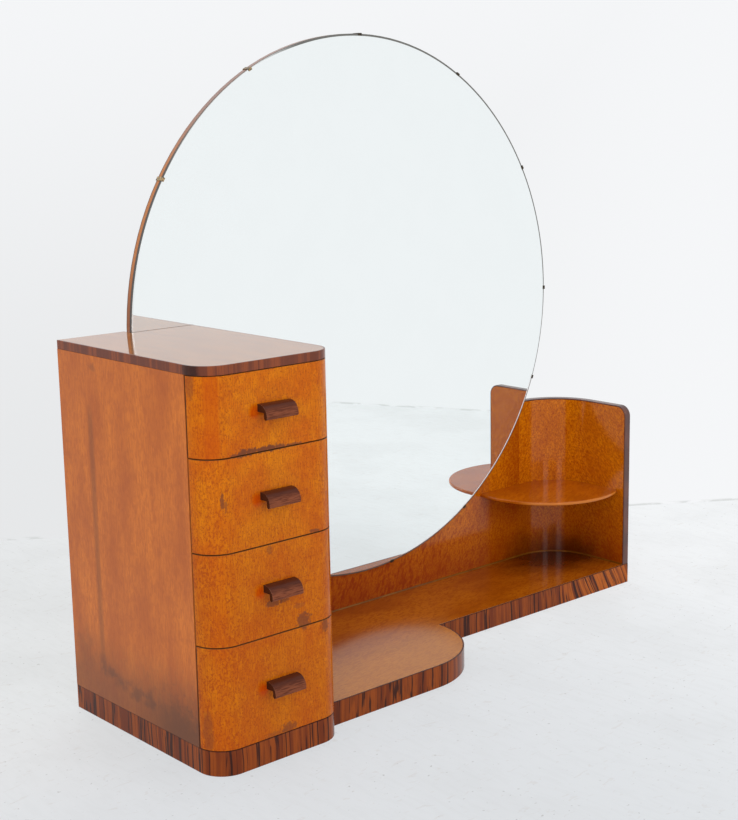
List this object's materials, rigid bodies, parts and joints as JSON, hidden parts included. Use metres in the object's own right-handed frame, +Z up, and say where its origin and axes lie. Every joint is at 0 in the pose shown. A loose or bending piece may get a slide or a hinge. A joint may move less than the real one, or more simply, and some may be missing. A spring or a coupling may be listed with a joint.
{
  "type": "dressing table",
  "caption": "Dressing table with a curved-front drawer pedestal, a low platform, a large round mirror and a low curved wing with a corner shelf.",
  "frame": {"origin": "on the floor under the centre of the bounding box, drawer pulls included", "axes": "+Z up, +X from the drawer pedestal towards the wing, +Y from the drawer faces to the back"},
  "size_m": [1.33, 0.475, 1.2485],
  "materials": {
    "top_veneer": "reddish brown walnut veneer, high gloss polish",
    "rosewood": "rosewood edging, striped dark red-brown, polished",
    "side_veneer": "orange-brown plain veneer, polished",
    "wall_veneer": "speckled amber burl veneer, polished",
    "platform_veneer": "brown walnut veneer, glossy",
    "drawer_veneer": "amber-orange burl veneer, polished",
    "carcase_wood": "plain softwood, unpolished",
    "drawer_wood": "plain light hardwood, waxed",
    "plywood": "plain birch plywood",
    "pull_wood": "dark stained hardwood, semi-matt, worn arrises",
    "mirror_glass": "silvered plate glass with a narrow bevel",
    "clip_steel": "darkened steel"
  },
  "bodies": {
    "carcase": {"pedestal_top": "top_veneer", "top_edging": "rosewood", "plinth_facing": "rosewood", "platform_facing": "rosewood", "wing_edging": "rosewood", "left_side_panel": "side_veneer", "right_side_panel": "side_veneer", "back_board": "wall_veneer", "wing_panel": "wall_veneer", "platform_board": "platform_veneer", "shelf": "platform_veneer", "corner_bead": "platform_veneer", "pedestal_bottom": "carcase_wood", "front_rail_1": "carcase_wood", "front_rail_2": "carcase_wood", "front_rail_3": "carcase_wood", "front_rail_4": "carcase_wood", "runners_1": "carcase_wood", "runners_2": "carcase_wood", "runners_3": "carcase_wood", "plinth_front": "carcase_wood", "plinth_left": "carcase_wood", "plinth_right": "carcase_wood", "front_bearer": "carcase_wood", "back_bearer": "carcase_wood", "end_bearer": "carcase_wood", "projection_bearer": "carcase_wood", "cross_bearers": "carcase_wood", "wing_batten": "carcase_wood", "mirror_glass": "mirror_glass", "mirror_clips": "clip_steel", "back_screws": "clip_steel"},
    "drawer_1": {"drawer_1_front": "drawer_veneer", "drawer_1_left_side": "drawer_wood", "drawer_1_right_side": "drawer_wood", "drawer_1_back": "drawer_wood", "drawer_1_bottom": "plywood", "drawer_1_pull": "pull_wood", "drawer_1_pull_screws": "clip_steel"},
    "drawer_2": {"drawer_2_front": "drawer_veneer", "drawer_2_left_side": "drawer_wood", "drawer_2_right_side": "drawer_wood", "drawer_2_back": "drawer_wood", "drawer_2_bottom": "plywood", "drawer_2_pull": "pull_wood", "drawer_2_pull_screws": "clip_steel"},
    "drawer_3": {"drawer_3_front": "drawer_veneer", "drawer_3_left_side": "drawer_wood", "drawer_3_right_side": "drawer_wood", "drawer_3_back": "drawer_wood", "drawer_3_bottom": "plywood", "drawer_3_pull": "pull_wood", "drawer_3_pull_screws": "clip_steel"},
    "drawer_4": {"drawer_4_front": "drawer_veneer", "drawer_4_left_side": "drawer_wood", "drawer_4_right_side": "drawer_wood", "drawer_4_back": "drawer_wood", "drawer_4_bottom": "plywood", "drawer_4_pull": "pull_wood", "drawer_4_pull_screws": "clip_steel"}
  },
  "joints": [
    {"name": "drawer_1_slide", "type": "slide", "parent": "carcase", "child": "drawer_1", "axis": [0, -1, 0], "range_m": [0, 0.3]},
    {"name": "drawer_2_slide", "type": "slide", "parent": "carcase", "child": "drawer_2", "axis": [0, -1, 0], "range_m": [0, 0.3]},
    {"name": "drawer_3_slide", "type": "slide", "parent": "carcase", "child": "drawer_3", "axis": [0, -1, 0], "range_m": [0, 0.3]},
    {"name": "drawer_4_slide", "type": "slide", "parent": "carcase", "child": "drawer_4", "axis": [0, -1, 0], "range_m": [0, 0.3]}
  ]
}
